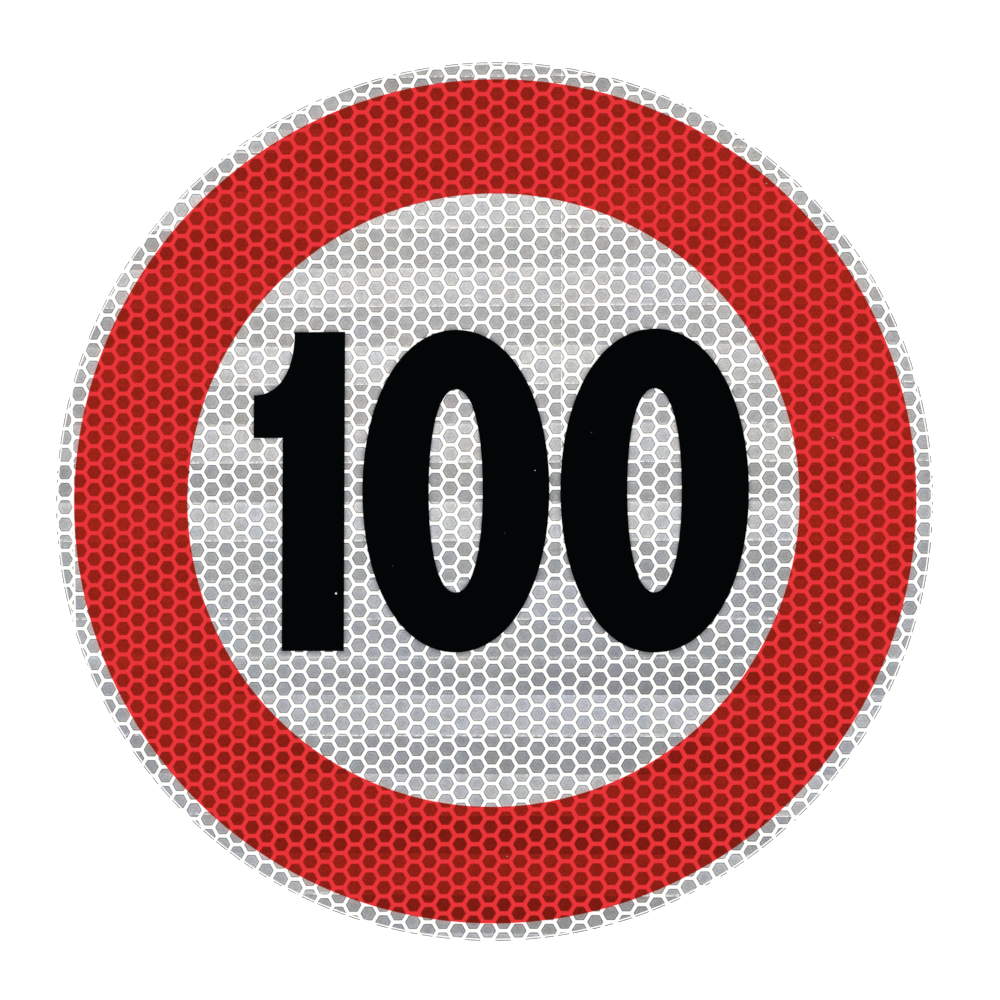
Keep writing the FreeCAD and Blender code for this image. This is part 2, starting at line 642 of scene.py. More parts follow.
@dataclass(frozen=True)
class Strips:
    """The strips that the prism tool leaves: level bands in turn light and dark.

    The tool was set down in three lengths, so the strips' rhythm starts afresh at two joints. Both
    sides of the lower joint look lighter, and a thin bright line marks it. A light strip brightens
    softly towards its top, and at its foot it ends in two thin bright lines. In the lowest length the
    light strips are a little wider than the dark ones. Each strip of the middle length came out a
    little lighter or darker than its kind, by the given share, counted from the top. A dark strip is
    darkest just under the line near the top edge, and at the foot of the disc the two kinds are nearly
    alike. Two upright seams cross the strips: one right of the middle, and a white one at the left
    edge, which leans a little.
    """

    first: float = 70.70
    pitch: float = 8.92
    lower_joint: float = -36.2
    lower_first: float = -44.45
    lower_pitch: float = 8.97
    lower_widening: float = 0.05
    upper_joint: float = 84.98
    top_line: float = 96.6
    own: tuple[float, ...] = (0.05, -0.03, 0.0, 0.0, 0.045, 0.055, 0.0, -0.01, 0.08, 0.01, -0.09, 0.10)
    seam_x: float = 15.95
    seam_low: float = -18.5
    edge_seam_x: float = -96.0
    edge_seam_lean: float = 0.0224
    top_shade: float = 0.28
    rise: float = 1.0

    def lay(self, add: Add, place: Socket) -> tuple[Socket, Socket, Socket, Socket]:
        """Works out the strips at a point from its height on the disc.

        Strips are counted downwards: the height below the first one over the pitch. A whole even count is
        light, and an odd one is dark. The part of a count tells how far the point is below its strip's top.

        Args:
            add: Adds a node.
            place: The point in millimetres.

        Returns:
            The tone of the strip, up to 1 on a bright line, 1 on the seam at the edge, and 1 on a dark line.
        """
        x, y = (add("SeparateXYZ", place, output=axis) for axis in "XY")
        middle = add("MULTIPLY_ADD", y, -1.0 / self.pitch, self.first / self.pitch)
        lower = add("MULTIPLY_ADD", y, -1.0 / self.lower_pitch, self.lower_first / self.lower_pitch + 2.0)
        lower = add("MULTIPLY_ADD", add("PINGPONG", lower, 1.0), -self.lower_widening, lower)
        upper = add("MULTIPLY_ADD", y, -1.0 / self.pitch, self.top_line / self.pitch + 1.0)
        count = add("Mix", add("LESS_THAN", y, self.lower_joint), middle, lower)
        is_upper = add("GREATER_THAN", y, self.upper_joint)
        count = add("Mix", is_upper, count, add("MINIMUM", upper, 1.9))
        dark = add("FLOORED_MODULO", add("FLOOR", count), 2.0)
        part = add("FRACT", count)

        profile = add("ValToRGB", part, stops=[
            (0.0, 0.62), (0.06, 0.57), (0.14, 0.525), (0.3, 0.505), (0.5, 0.5), (0.85, 0.49), (0.92, 0.505),
            (0.97, 0.53)])
        swing = add("MULTIPLY_ADD", profile, 2.0 * self.rise, 1.0 - self.rise)
        foot_light = add("MapRange", y, -98.6, -97.6, 0.76, 1.0)
        foot_dark = add("MapRange", y, -98.0, -93.0, 1.07, 1.0)
        top_dark = add("MapRange", y, 92.0, 96.2, 1.0, 1.0 - self.top_shade)
        changes = {"light_strip": (swing, foot_light), "dark_strip": (foot_dark, top_dark)}
        tones = [
            add("MULTIPLY", add("Attribute:" + measure), add("MULTIPLY", *both))
            for measure, both in changes.items()
        ]
        # The ramp has room for 16 strips, from the second above the first
        among = add("MULTIPLY_ADD", middle, 1.0 / 16.0, 2.0 / 16.0)
        steps = [((k + 2.0) / 16.0, 0.5 + 0.5 * self.rise * step) for k, step in enumerate((*self.own, 0.0))]
        own = add("ValToRGB", among, stops=[(0.0, 0.5)] + steps, stepped=True)
        by_joint = add("ValToRGB", add("MULTIPLY_ADD", y, 0.125, 5.125), stops=[
            (0.125, 0.5), (0.375, 0.55), (0.5, 0.6), (0.59, 0.63), (0.66, 0.56), (0.75, 0.5)])
        # Both ramps hold half their factor, because a ramp's values end at 1
        doubled = add("MULTIPLY", own, add("MULTIPLY", by_joint, 4.0))
        tone = add("MULTIPLY", add("Mix", dark, *tones), doubled)

        foot = add("ValToRGB", part, stepped=True, stops=[
            (0.0, 0.0), (0.935, 0.4), (0.957, 0.0), (0.971, 0.9), (0.997, 0.0)])
        bright = add("MULTIPLY", foot, add("SUBTRACT", 1.0, dark))
        top_line = add("MULTIPLY", add("LESS_THAN", part, 0.025), add("MULTIPLY", dark, 0.8))
        seam_side = add("SUBTRACT", x, self.seam_x)
        seam_here = add("GREATER_THAN", y, self.seam_low)
        seam_bright, seam_dark = (
            add("MULTIPLY", add("COMPARE", seam_side, side, half_width), seam_here)
            for side, half_width in ((0.15, 0.13), (-0.12, 0.12)))
        joint = add("MULTIPLY", add("COMPARE", y, self.lower_joint + 0.2, 0.14), 0.45)
        for line in (seam_bright, joint):
            bright = add("MAXIMUM", bright, line)
        upright = add("MULTIPLY_ADD", y, self.edge_seam_lean, x)
        edge_seam = add("COMPARE", upright, self.edge_seam_x, 0.21)
        return tone, bright, edge_seam, add("MAXIMUM", top_line, seam_dark)


@dataclass(frozen=True)
class Spots:
    """Tiny round spots: pinholes in a print or glints in the sheeting.

    Each has its place, its radius in millimetres and how strongly it shows.
    """

    spots: tuple[tuple[float, float, float, float], ...]

    def lay(self, add: Add, place: Socket) -> Socket:
        """Works out where the spots are.

        Args:
            add: Adds a node.
            place: The point in millimetres.

        Returns:
            A spot's own strength inside it, and 0 elsewhere.
        """
        flat = add("VectorMath:MULTIPLY", place, FLAT)
        found = 0.0
        for x, y, size, strength in self.spots:
            away = add("VectorMath:DISTANCE", flat, (x, y, 0.0), output="Value")
            here = add("MULTIPLY", add("LESS_THAN", away, size), strength)
            found = add("MAXIMUM", found, here)
        return found


@dataclass(frozen=True)
class PrismCell(UnderFilm):
    """Sheet of moulded acrylic micro-prisms with air behind, seen through the clear face film.

    Such prisms throw light back where it came from, so under side light a cell looks an even silver
    grey. Its edge carries a painted shade and, just inside it, a thin painted highlight, where the
    light falls on the cell's curved edge. The colour runs from warm at the top to bluer at the foot,
    painted light that stands for the warmer light at the top. Red-tinted light is painted beside the
    red print, and a painted shadow beside the black. Real prisms are about 0.1 mm wide, so the
    grain is drawn coarser, at 0.27 to 0.4 mm, to show.
    """

    name: str = "silver_micro_prisms_under_clear_acrylic"
    main: str = "#A29F9C"
    cool_lit_silver: str = "#999EA6"
    seam_white: str = "#EAEAE6"
    red_tinted_light: str = "#B39A96"
    roughness: float = 0.42
    ior: float = 1.49
    bump_depth: float = 0.03
    glints: Spots = Spots((
        (-67.18, 4.48, 0.12, 0.6), (25.12, -32.82, 0.12, 0.6), (-13.06, -42.88, 0.14, 0.5),
        (56.41, -23.11, 0.11, 0.3), (-53.88, -39.78, 0.12, 0.3)))
    strips: Strips = Strips()

    def colour(self, add: Add, place: Socket) -> Socket:
        """Strips, painted edge shade and highlight, painted shadow by the black ink and grain on the silver,
        with painted red-tinted light by the red ink, and bright lines over all.

        Args:
            add: Adds a node.
            place: The point in millimetres.

        Returns:
            The colour.
        """
        # The red ring runs from 69.75 to 96 mm out, and the last 0.3 mm of the cells is darker
        from_axis = add("VectorMath:LENGTH", add("VectorMath:MULTIPLY", place, FLAT), output="Value")
        # Painted red-tinted light on the cells just inside and just outside the red ring
        inside = add("MapRange", from_axis, 68.7, 70.0, 0.0, 0.75)
        outside = add("MapRange", from_axis, 96.0, 97.2, 0.75, 0.0)
        red_light_share = add("Mix", add("GREATER_THAN", from_axis, 83.0), inside, outside)
        silver = add("Mix:RGBA", red_light_share, self._silver(add, place), linear(self.red_tinted_light))

        factor, bright, edge_seam, dark_line = self.strips.lay(add, place)
        # Painted shade on the cell's edge, and a painted highlight on the thin line just inside it
        painted_rim_shade_and_highlight = add("ValToRGB", add("Attribute:inset_mm"), stops=[
            (0.0, 0.31), (0.18, 0.33), (0.31, 0.595), (0.45, 0.585), (0.58, 0.52), (0.9, 0.505)])
        # Painted shadow: the cells darken towards the black ink's outline, within about a millimetre of it
        painted_ink_shadow = add("ValToRGB", add("Attribute:from_ink_mm"), stops=[
            (0.0, 0.55), (0.3, 0.72), (0.7, 0.87), (1.0, 1.0)])
        parts = (
            add("MULTIPLY", painted_rim_shade_and_highlight, 2.0),
            add("MULTIPLY_ADD", add("Attribute:cell_tone"), 0.026, 1.0),
            painted_ink_shadow,
            add("MapRange", dark_line, 0.0, 1.0, 1.0, 0.84),
            add("MapRange", from_axis, 99.7, 99.8, 1.0, 0.55),
            *(mottle(add, place, size, spread) for size, spread in ((0.27, 0.36), (0.8, 0.1), (2.5, 0.12))),
        )
        for part in parts:
            factor = add("MULTIPLY", factor, part)
        toned = add("VectorMath:SCALE", silver, Scale=factor)
        broken = add("TexNoise", Vector=place, Scale=1.5, Detail=2.0)
        show = add("MULTIPLY", bright, add("MapRange", broken, 0.42, 0.6, 0.05, 1.0))
        for part in (edge_seam, self.glints.lay(add, place)):
            show = add("MAXIMUM", show, part)
        return add("Mix:RGBA", show, toned, linear(self.seam_white))

    def height(self, add: Add, place: Socket) -> Socket:
        """The prisms' grain."""
        return add("TexVoronoi", Vector=place, Scale=2.5, output="Distance")

    def _silver(self, add: Add, place: Socket) -> Socket:
        """The prisms' colour: warm at the top and coolest below the middle, as painted light.

        The height from -100 to 100 mm gives the tint, a painted light that is warm at the top and bluer
        below the middle. It strays a little by cell and by grain, and the outline of a cell is cooler at its
        top and warmer at its foot, a painted fringe of the light at the cell's edge. Over it lie two faint
        casts, one from cell to cell that is rosier or greener, and a wide one that is bluer or yellower.

        Args:
            add: Adds a node.
            place: The point in millimetres.

        Returns:
            The colour.
        """
        # Painted light: warm light at the top of the disc, bluer light below the middle
        tint = add("ValToRGB", add("MapRange", add("SeparateXYZ", place, output="Y"), -100.0, 100.0), stops=[
            (0.0, 0.5), (0.15, 0.55), (0.28, 0.65), (0.38, 0.65), (0.5, 0.42), (0.58, 0.3), (1.0, 0.24)])
        cell, rise, inset = (add("Attribute:" + name) for name in ("cell_hue", "cell_rise", "inset_mm"))
        # Painted light: the outline's top is tinted bluer and its foot warmer, a fringe of the light at the
        # cell's edge
        rise = add("MULTIPLY", rise, add("MapRange", inset, 0.2, 0.45, 0.5, 0.0))
        grain = add("TexNoise", Vector=place, Scale=3.2, Detail=1.0)
        for part, weight, level in ((cell, 0.08, 0.0), (rise, 1.0, 0.0), (grain, 1.4, -0.7)):
            tint = add("ADD", tint, add("MULTIPLY_ADD", part, weight, level))
        silver = add("Mix:RGBA", tint, linear(self.main), linear(self.cool_lit_silver), clamp_factor=False)
        for size, red, blue in ((3.5, 0.12, 0.06), (18.0, 0.03, 0.18)):
            cast = add("TexNoise", Vector=place, Scale=1.0 / size, Detail=1.0, output="Color")
            even = (1.0 - red / 2.0, 1.0, 1.0 - blue / 2.0)
            cast = add("VectorMath:MULTIPLY_ADD", cast, (red, 0.0, blue), even)
            silver = add("VectorMath:MULTIPLY", silver, cast)
        return silver


@dataclass(frozen=True)
class RedInkOnSeal(UnderFilm):
    """See-through red screen ink over the white seal.

    The white behind it makes it a bright, slightly pinkish red, and it darkens in the last tenth of a
    millimetre towards a cell, where the light spreads under the ink.
    """

    name: str = "red_screen_ink_on_white_seal"
    main: str = "#D42F33"
    edge: str = "#B42328"
    patch_spread: float = 0.02

    def colour(self, add: Add, place: Socket) -> Socket:
        """Red with a darker edge."""
        edge = add("MapRange:SMOOTHSTEP", add("Attribute:inset_mm"), -0.14, 0.0, 0.0, 1.0)
        return add("Mix:RGBA", edge, linear(self.main), linear(self.edge))


@dataclass(frozen=True)
class RedInkOnPrism(UnderFilm):
    """See-through red screen ink over the prisms, which return little light through it.

    To the eye it is a deep brownish red, with the prism strips just showing in it.
    """

    name: str = "red_screen_ink_on_prisms"
    main: str = "#841C13"
    edge: str = "#A01C18"
    showing: str = "#F0C9BE"
    pinholes: Spots = Spots((
        (-45.92, 75.03, 0.11, 1.0), (62.66, 71.46, 0.09, 1.0), (77.50, 13.56, 0.09, 1.0),
        (74.47, -28.12, 0.10, 1.0), (3.90, -80.90, 0.08, 1.0)))
    strips: Strips = Strips(rise=0.5, top_shade=0.0)

    def colour(self, add: Add, place: Socket) -> Socket:
        """Deep red by strips, brighter at the cell's edge with painted light, and a few pinholes.

        Args:
            add: Adds a node.
            place: The point in millimetres.

        Returns:
            The colour.
        """
        factor, bright, _, _ = self.strips.lay(add, place)
        own = add("MULTIPLY_ADD", add("Attribute:cell_tone"), 0.018, 1.0)
        glint = add("MULTIPLY_ADD", bright, 0.10, 1.0)
        for part in (own, glint, mottle(add, place, 0.3, 0.45), mottle(add, place, 1.3, 0.08)):
            factor = add("MULTIPLY", factor, part)
        red = add("VectorMath:SCALE", linear(self.main)[:3], Scale=factor)
        # Painted light: the cell's edge is brighter, for the light that spreads under the ink from the bright
        # walls
        edge = add("MapRange:SMOOTHSTEP", add("Attribute:inset_mm"), 0.0, 0.16, 1.0, 0.0)
        red = add("Mix:RGBA", edge, red, linear(self.edge))
        return add("Mix:RGBA", self.pinholes.lay(add, place), red, linear(self.showing))


@dataclass(frozen=True)
class BlackInk(Finish):
    """Opaque black screen ink, printed and baked, with the gloss of enamel.

    To the eye it is an even deep black with a faintly bluish cast, a very fine orange-peel surface and
    here and there a pinhole that the screen left, through which the sheeting shows.
    """

    name: str = "black_screen_ink"
    main: str = "#000203"
    showing: str = "#E0E0DE"
    roughness: float = 0.16
    pinholes: Spots = Spots((
        (-35.27, -21.46, 0.22, 1.0), (10.08, 6.42, 0.10, 0.9), (22.90, 15.03, 0.11, 0.1),
        (3.22, -7.74, 0.11, 0.06), (-22.31, -15.25, 0.11, 0.06)))

    def colour(self, add: Add, place: Socket) -> Socket:
        """Black, with pinholes at their places."""
        return add("Mix:RGBA", self.pinholes.lay(add, place), linear(self.main), linear(self.showing))

    def height(self, add: Add, place: Socket) -> Socket:
        """The fine peel."""
        return add("TexNoise", Vector=place, Scale=1.6, Detail=2.0)


@dataclass(frozen=True)
class CutEdge(Finish):
    """The laminate's cut side: clear film over the white seal, over a thin amber line of adhesive."""

    name: str = "cut_side_of_laminate"
    main: str = "#D9DCDC"
    core: str = "#ECECEA"
    adhesive: str = "#D8CBA6"
    core_level: float = 0.19
    film_level: float = 0.36
    roughness: float = 0.5
    ior: float = 1.49

    def colour(self, add: Add, place: Socket) -> Socket:
        """Three layers by height, with fine upright marks from the die.

        Args:
            add: Adds a node.
            place: The point in millimetres.

        Returns:
            The colour.
        """
        height, layer = add("SeparateXYZ", place, output="Z"), linear(self.adhesive)
        for level, above in ((self.core_level, self.core), (self.film_level, self.main)):
            layer = add("Mix:RGBA", add("GREATER_THAN", height, level), layer, linear(above))
        upright = add("VectorMath:MULTIPLY", place, (1.0, 1.0, 0.05))
        return add("VectorMath:SCALE", layer, Scale=mottle(add, upright, 0.3, 0.05))


@dataclass(frozen=True)
class Adhesive(Finish):
    """Clear acrylic adhesive on the sheet's back, against the liner.

    To the eye it is smooth, with a faint amber cast and the soft patches of a coated film.
    """

    name: str = "acrylic_adhesive"
    main: str = "#D9D2BC"
    patch_size: float = 8.0
    patch_spread: float = 0.03
    roughness: float = 0.3
    ior: float = 1.47


@dataclass(frozen=True)
class LinerPaper(Finish):
    """Bleached kraft paper, calendered and siliconised, as peel-off liners are.

    To the eye it is a warm off-white with a faint sheen, and the fibres make a soft cloudy mottling
    with a fine grain.
    """

    name: str = "siliconised_kraft_paper"
    main: str = "#E3DDCD"
    cloud: str = "#D8D1BF"
    roughness: float = 0.38
    ior: float = 1.41
    bump: float = 0.3
    bump_depth: float = 0.03

    def colour(self, add: Add, place: Socket) -> Socket:
        """Cloudy paper with the fibres' grain.

        Args:
            add: Adds a node.
            place: The point in millimetres.

        Returns:
            The colour.
        """
        clouds = add("TexNoise", Vector=place, Scale=0.35, Detail=4.0, Roughness=0.6)
        paper = add("Mix:RGBA", add("MapRange", clouds, 0.35, 0.68), linear(self.main), linear(self.cloud))
        grain = add("MapRange", self.height(add, place), 0.3, 0.7, 0.965, 1.02)
        return add("VectorMath:SCALE", paper, Scale=grain)

    def height(self, add: Add, place: Socket) -> Socket:
        """The fibres, longer up the paper than across it."""
        along = add("VectorMath:MULTIPLY", place, (1.0, 0.3, 1.0))
        return add("TexNoise", Vector=along, Scale=2.2, Detail=4.0, Roughness=0.7)


# Pieces

@dataclass(frozen=True)
class StripToneAndPaintedLight:
    """How bright one set of strips looks over the disc, as an sRGB level, with painted light and shade.

    It is a cubic with soft patches on top. The cubic's slopes and the patches paint the light and
    shade that fall across the disc. Each patch has its middle and its reach across and up in
    millimetres and its change of level, which fades by the bell curve.
    """

    terms: Terms
    patches: tuple[tuple[float, float, float, float, float], ...] = ()

    def against(self, level: float, points: np.ndarray) -> np.ndarray:
        """How bright the strips are beside a colour of one level.

        Args:
            level: The colour's level.
            points: Points of the face.

        Returns:
            A factor for each point, in linear light.
        """
        value = cubic(self.terms, points)
        for *middle, reach_across, reach_up, change in self.patches:
            away = (points[:, :2] - middle) / (reach_across, reach_up)
            value = value + change * np.exp(-0.5 * (away ** 2).sum(axis=1))
        return to_linear(value / 255.0) / to_linear(np.array(level / 255.0))


@dataclass(frozen=True)
class Sheeting:
    """What the sheet and the red ink on it share: the strips' tones with their painted light and
    shade, beside their colour's own level.
    """

    light: StripToneAndPaintedLight
    dark: StripToneAndPaintedLight
    base_level: float

    def toned(self, surface: Surface) -> Surface:
        """Adds the tones of the light and the dark strips, with their painted light and shade, to a
        surface's measures.
        """
        tones = {"light_strip": self.light, "dark_strip": self.dark}
        return replace(surface, measures=surface.measures | {
            name: tone.against(self.base_level, surface.points) for name, tone in tones.items()})


def disc_map(surface: Surface) -> np.ndarray:
    """Lays a round piece out flat for its bake map.

    The face fills the square, seen from above. The back is a small copy in the lower left corner and
    the cut side a small ring in the upper right one, outside the face's circle.

    Args:
        surface: The piece.

    Returns:
        A place in the square for each corner of each triangle.
    """
    corners = surface.points[surface.triangles]
    flat = corners[..., :2] / 100.0
    side = 0.93 + (0.02 + 0.03 * (corners[..., 2:] / INK_TOP)) * flat
    zones = surface.zones[:, None, None]
    chosen = np.where(zones == Zone.BACK.value, 0.07 + 0.055 * flat, 0.5 + 0.49 * flat)
    return np.where(zones == Zone.CUT.value, side, chosen)


def box_map(surface: Surface) -> np.ndarray:
    """Lays a numeral out flat for its bake map: its face, and at the right its back, a third as large.

    Args:
        surface: The piece.

    Returns:
        A place in the square for each corner of each triangle.
    """
    low, reach = surface.points.min(axis=0)[:2], np.ptp(surface.points[:, 1])
    flat = (surface.points[surface.triangles][..., :2] - low) / reach
    back = surface.zones[:, None, None] == Zone.BACK.value
    return np.where(back, np.array([0.66, 0.02]) + 0.32 * flat, 0.01 + 0.98 * flat)


def make_piece(name: str, node: str, surface: Surface, layout: np.ndarray,
               finishes: list[Finish]) -> None:
    """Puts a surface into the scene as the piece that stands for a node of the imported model.

    Args:
        name: The piece's name.
        node: The node that it stands for.
        surface: Its shape, in millimetres.
        layout: Its bake map, a place for each corner of each triangle.
        finishes: The finish of each zone, in the zones' order.
    """
    mesh = bpy.data.meshes.new(name)
    mesh.from_pydata((surface.points * MM).tolist(), [], surface.triangles.tolist())
    mesh.polygons.foreach_set("material_index", surface.zones.astype(np.int32))
    for measure, values in surface.measures.items():
        mesh.attributes.new(measure, "FLOAT", "POINT").data.foreach_set("value", values.astype(np.float32))
    mesh.uv_layers.new(name="OFBake").data.foreach_set("uv", layout.reshape(-1).astype(np.float32))
    for finish in finishes:
        mesh.materials.append(finish.build())
    mesh.update()
    piece = bpy.data.objects.new(name, mesh)
    bpy.context.collection.objects.link(piece)
    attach(piece, BODY)
    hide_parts(node)
    LOG.info("%s: %d points, %d triangles", name, len(surface.points), len(surface.triangles))


@dataclass(frozen=True)
class ReflectiveSheet(Sheeting):
    """The laminate: honeycomb face, the die's pressed crease, rolled edge, cut side and flat back."""

    # Painted light and shade: the cubics' slopes and the patches brighten and darken the strips across the
    # disc
    light: StripToneAndPaintedLight = StripToneAndPaintedLight(
        ((193.7, 23.3, -11.6, -33.5), (-1.1, -18.1, 0.0, 0.0), (-16.5, -0.9, 0.0, 0.0)),
        ((-97.0, 28.0, 12.0, 14.0, -15.0), (72.0, -23.0, 16.0, 9.0, -16.0), (40.0, -88.0, 16.0, 10.0, -18.0)))
    dark: StripToneAndPaintedLight = StripToneAndPaintedLight(
        ((167.7, 28.4, -1.0, -14.5), (-3.0, 10.7, 0.0, 0.0), (2.4, -27.7, 0.0, 0.0)),
        ((-90.0, 12.0, 30.0, 14.0, -13.0), (45.0, -40.0, 30.0, 7.0, -14.0),
         (-82.0, -62.0, 14.0, 18.0, -17.0), (82.0, -62.0, 14.0, 18.0, 17.0)))
    base_level: float = 180.0
    disc_radius: float = 100.0
    roll: float = 0.15
    crease_inset: float = 0.42
    crease_width: float = 0.28
    crease_depth: float = 0.05
    fade_width: float = 0.8
    ink_reach: float = 6.0
    honeycomb: Honeycomb = Honeycomb()

    def build(self, numerals: list[Numeral]) -> None:
        """Makes the sheet and dresses it, with a painted shadow beside the numerals' ink."""
        surface = self.toned(self.closed(self.face(numerals)))
        make_piece("reflective_sheet", "face_sheet", surface, disc_map(surface),
                   [WhiteSeal(), PrismCell(), CutEdge(), Adhesive()])

    def face(self, numerals: list[Numeral]) -> Surface:
        """The printed side, out to where the edge rolls over.

        The honeycomb's relief fades out in the last millimetre, where the die has pressed it flat. The
        crease is a shallow round groove: its depth times 1 less the square of the way from its middle.

        Args:
            numerals: The numerals, for each point's distance from the black ink.

        Returns:
            The face, open at its border.
        """
        middle, half = self.disc_radius - self.crease_inset, self.crease_width / 2.0
        rolls_at = self.disc_radius - self.roll
        surface = self.honeycomb.around(self.disc_radius)
        for size in (middle - half, middle, middle + half, rolls_at):
            surface = surface.cut(circle(size))
        surface = surface.keep(radius(surface.centroids()) < rolls_at)
        surface.zones[np.abs(radius(surface.centroids()) - middle) < half] = Zone.SEAL.value
        out = radius(surface.points)
        fade = np.clip((middle - half - out) / self.fade_width, 0.0, 1.0)
        groove = np.clip(1.0 - ((out - middle) / half) ** 2, 0.0, 1.0)
        surface.points[:, 2] = FACE_LEVEL + surface.points[:, 2] * fade - self.crease_depth * groove
        # Each point's distance from the black ink, which places the painted shadow beside it
        away = np.minimum.reduce([numeral.distance(surface.points) for numeral in numerals])
        surface.measures["from_ink_mm"] = np.minimum(away, self.ink_reach)
        return surface

    def closed(self, face: Surface) -> Surface:
        """Carries the face's border over the rolled edge, down the cut side and in under the sheet.

        The profile is a quarter circle of the roll's radius and a straight drop to the liner, and the
        flat back is a fan round the axis.

        Args:
            face: The face, whose border is one circle.

        Returns:
            The closed sheet.
        """
        edges, owner = face.border()
        ring, ends = np.unique(edges, return_inverse=True)
        start, end = ends.reshape(-1, 2).T
        direction = face.points[ring, :2] / radius(face.points[ring])[:, None]
        turns = np.radians([30.0, 60.0, 90.0])
        outs = np.append(self.disc_radius - self.roll + self.roll * np.sin(turns), self.disc_radius)
        heights = np.append(FACE_LEVEL - self.roll + self.roll * np.cos(turns), LINER_TOP)
        n, count = len(face.points), len(ring)
        rows = [ring] + [n + count * k + np.arange(count) for k in range(len(outs))]
        added = [
            np.column_stack([direction * out, np.full(count, height)]) for out, height in zip(outs, heights)]
        parts, zones = [face.triangles], [face.zones]
        for k, (upper, lower) in enumerate(zip(rows, rows[1:])):
            a, b, c, d = upper[start], upper[end], lower[end], lower[start]
            parts += [np.stack([a, d, c], axis=1), np.stack([a, c, b], axis=1)]
            zones += [face.zones[owner] if k < 2 else np.full(len(owner), Zone.CUT.value)] * 2
        centre = n + count * len(outs) + count
        under = centre - count + np.arange(count)
        added += [added[-1].copy(), np.array([[0.0, 0.0, LINER_TOP]])]
        parts.append(np.stack([under[end], under[start], np.full(len(start), centre)], axis=1))
        zones.append(np.full(len(start), Zone.BACK.value))
        measures = {
            name: np.concatenate([held] + [held[ring]] * (len(outs) + 1) + [np.zeros(1)])
            for name, held in face.measures.items()
        }
        points = np.concatenate([face.points] + added)
        return Surface(points, np.concatenate(parts), np.concatenate(zones), measures)


@dataclass(frozen=True)
class RedBorder(Sheeting):
    """The ring of red ink, which follows the honeycomb's relief just above the sheet.

    Light spreads sideways under the ink, so the bright walls look wider through it than they are.
    """

    # Painted light and shade: the cubics' slopes brighten and darken the red across the ring
    light: StripToneAndPaintedLight = StripToneAndPaintedLight(((158.7, 9.0, -11.1, -2.5), (-0.9, 5.4, 0.0, 0.0), (-7.3, 2.3, 0.0, 0.0)))
    dark: StripToneAndPaintedLight = StripToneAndPaintedLight(((142.0, 19.7, -7.3, -9.7), (0.6, 9.2, 0.0, 0.0), (10.3, -14.9, 0.0, 0.0)))
    base_level: float = 147.0
    inner: float = 69.75
    outer: float = 96.0
    centre_x: float = 0.2
    film: float = 0.028
    honeycomb: Honeycomb = Honeycomb(seal_width=0.975, seed=43)

    def build(self) -> None:
        """Makes the ring and dresses it: the honeycomb between two circles, given the ink's thickness."""
        inner, outer = circle(self.inner, self.centre_x), circle(self.outer, self.centre_x)
        surface = self.honeycomb.around(self.outer).cut(inner).cut(outer)
        middles = surface.centroids()
        surface = surface.keep((inner(middles) > 0.0) & (outer(middles) < 0.0))
        surface.points[:, 2] += INK_TOP
        surface = self.toned(surface.thickened(surface.points[:, 2] - self.film))
        make_piece("red_border_ink", "red_border", surface, disc_map(surface),
                   [RedInkOnSeal(), RedInkOnPrism(), RedInkOnSeal(), RedInkOnSeal()])


@dataclass(frozen=True)
class NumeralInk:
    """The film of black ink of one numeral, through which the honeycomb's relief only just shows."""

    numeral: Numeral
    spare: float = 4.0
    above_face: float = 0.001
    honeycomb: Honeycomb = Honeycomb(seal_width=0.9, bevel=0.35, relief=0.006, seed=47)

    def build(self) -> None:
        """Makes the numeral and dresses it: honeycomb cut along the outline, with the ink's thickness."""
        low, high = np.array(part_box(self.numeral.node))[:, :2] / MM
        surface = self.honeycomb.surface(low - self.spare, high + self.spare)
        for line in self.numeral.lines():
            surface = surface.cut(line)
        surface = surface.keep(self.numeral.distance(surface.centroids()) < 0.0)
        surface.points[:, 2] += INK_TOP
        surface = surface.thickened(np.full(len(surface.points), FACE_LEVEL + self.above_face))
        make_piece(self.numeral.node + "_ink", self.numeral.node, surface, box_map(surface),
                   [BlackInk()] * len(Zone))


@dataclass(frozen=True)
class Liner:
    """The peel-off liner, whose own solid stays and takes a paper finish."""

    node: str = "release_liner"

    def dress(self) -> None:
        """Gives the solid its paper."""
        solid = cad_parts[self.node]
        solid.data.materials.clear()
        solid.data.materials.append(LinerPaper().build())
        LOG.info("%s: dressed as it is", self.node)


# Studio

@dataclass(frozen=True)
class LightTable(Finish):
    """Matt white acrylic table, lit a little from within, so that it stays white up to the disc's edge."""

    name: str = "matt_white_acrylic_table"
    main: str = "#EDEDED"
    patch_size: float = 60.0
    patch_spread: float = 0.01
    roughness: float = 0.7
    glow: float = 0.45
    half_width: float = 3.0
    below: float = 0.02

    def lay(self) -> None:
        """Lays the table just below the disc."""
        h, z = self.half_width, -self.below * MM
        mesh = bpy.data.meshes.new("light_table")
        mesh.from_pydata([(-h, -h, z), (h, -h, z), (h, h, z), (-h, h, z)], [], [(0, 1, 2, 3)])
        mesh.materials.append(self.build())
        table = bpy.data.objects.new("light_table", mesh)
        bpy.context.collection.objects.link(table)


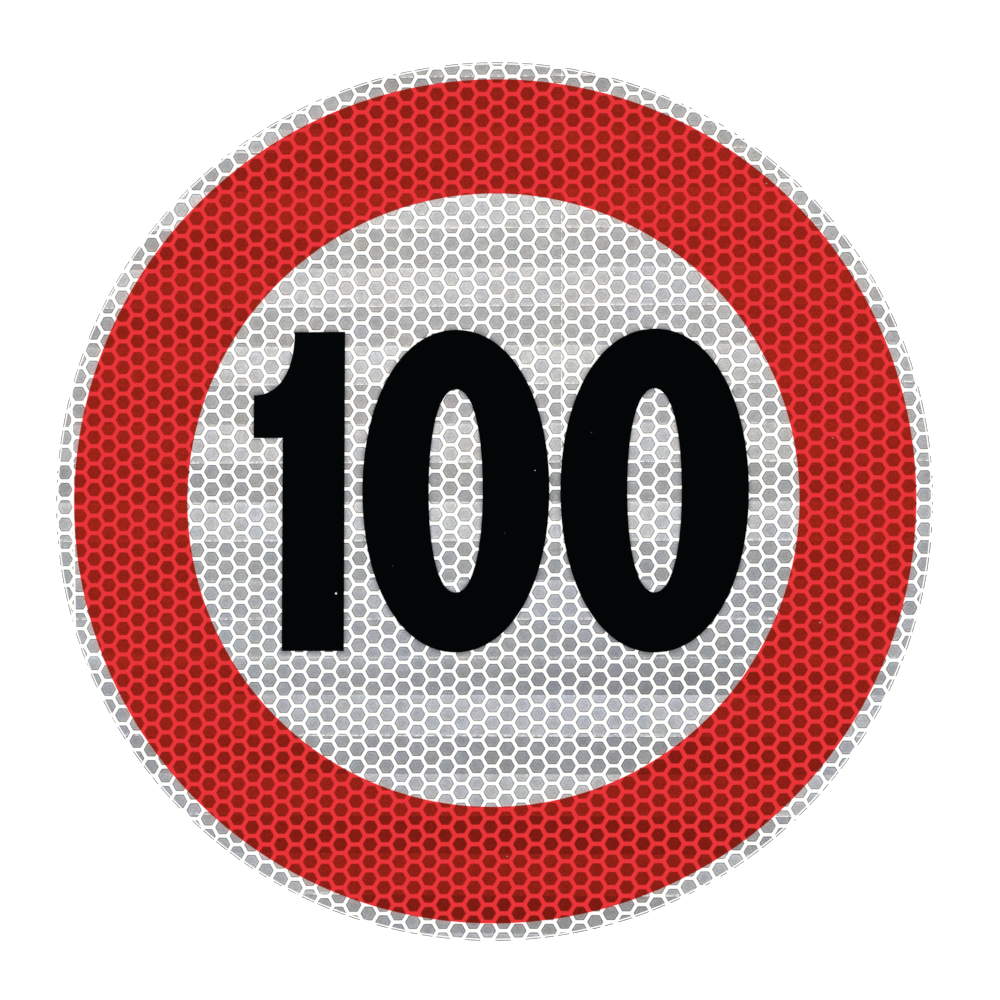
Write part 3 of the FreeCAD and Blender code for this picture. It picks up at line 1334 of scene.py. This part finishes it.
@dataclass(frozen=True)
class Studio:
    """A copying stand: four soft boxes round the disc, a pale surround, and darkness straight above.

    Nothing bright stands where the gloss of the print would mirror it to a viewer above.
    """

    box_size: float = 0.9
    box_distance: float = 1.35
    box_elevation: float = 40.0
    box_power: float = 6.15
    box_turns: tuple[float, ...] = (45.0, 135.0, 225.0, 315.0)
    surround: float = 0.93
    overhead: float = 0.01
    fade: tuple[float, float] = (0.66, 0.84)
    lens: float = 144.0
    camera_place: tuple[float, float, float] = (78.2, -50.31, 904.27)
    camera_right: tuple[float, float, float] = (0.99648, 0.00187, -0.08377)
    camera_up: tuple[float, float, float] = (0.00276, 0.99848, 0.05507)

    def set_up(self) -> None:
        """Makes the lights, the surround and the camera, and picks a plain view of the colours."""
        self._surround()
        for turn in self.box_turns:
            self._soft_box(turn)
        self._camera()
        settings = bpy.context.scene.view_settings
        settings.view_transform, settings.look = "Standard", "None"

    def _surround(self) -> None:
        """Lights the surround: even from below to about 41 degrees up, then fading to dark at 57 degrees."""
        world = bpy.data.worlds.new("studio")
        world.use_nodes = True
        world.node_tree.nodes.clear()
        add = partial(add_node, world.node_tree)
        rise = add("SeparateXYZ", add("TexCoord", output="Generated"), output="Z")
        strength = add("MapRange:SMOOTHSTEP", rise, *self.fade, self.surround, self.overhead)
        add("OutputWorld", add("Background", Color=(1.0, 1.0, 1.0, 1.0), Strength=strength))
        bpy.context.scene.world = world

    def _soft_box(self, turn: float) -> None:
        """Hangs one soft box that faces the disc's middle.

        Args:
            turn: Its direction round the disc in degrees, from +X towards +Y.
        """
        around, up = np.radians(turn), np.radians(self.box_elevation)
        out = np.array([np.cos(up) * np.cos(around), np.cos(up) * np.sin(around), np.sin(up)])
        across = np.array([-np.sin(around), np.cos(around), 0.0])
        lamp = bpy.data.lights.new("soft_box", "AREA")
        lamp.shape, lamp.size, lamp.energy = "SQUARE", self.box_size, self.box_power
        self._stand("soft_box", lamp, out * self.box_distance, across, np.cross(out, across))

    def _camera(self) -> None:
        """Sets the camera where the photograph was taken from, seen in the disc's own frame."""
        camera = bpy.data.cameras.new("camera")
        camera.sensor_width, camera.lens = 36.0, self.lens
        camera.clip_start, camera.clip_end = 0.01, 20.0
        place, right, up = np.array([self.camera_place, self.camera_right, self.camera_up])
        bpy.context.scene.camera = self._stand("camera", camera, place * MM, right, up)

    @staticmethod
    def _stand(name: str, data: bpy.types.ID, place: np.ndarray, right: np.ndarray,
               up: np.ndarray) -> bpy.types.Object:
        """Stands a lamp or camera in the scene.

        Args:
            name: Its name.
            data: The lamp or camera.
            place: Where it stands, in metres.
            right: Its right-hand direction.
            up: Its upward direction. It looks away from right crossed with up.

        Returns:
            The new object.
        """
        turned = np.eye(4)
        turned[:3] = np.stack([right, up, np.cross(right, up), place], axis=1)
        stood = bpy.data.objects.new(name, data)
        stood.matrix_world = Matrix(turned.tolist())
        bpy.context.collection.objects.link(stood)
        return stood


def main() -> None:
    """Builds the disc and the studio."""
    logging.basicConfig(level=logging.INFO, format="%(name)s: %(message)s")
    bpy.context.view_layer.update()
    Studio().set_up()
    LightTable().lay()
    numerals = [
        NumeralOne("digit_one"),
        NumeralZero("digit_zero_tens", centre_x=-7.975),
        NumeralZero("digit_zero_units", centre_x=37.225),
    ]
    Liner().dress()
    ReflectiveSheet().build(numerals)
    RedBorder().build()
    for numeral in numerals:
        NumeralInk(numeral).build()
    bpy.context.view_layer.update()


if __name__ == "__main__":
    main()
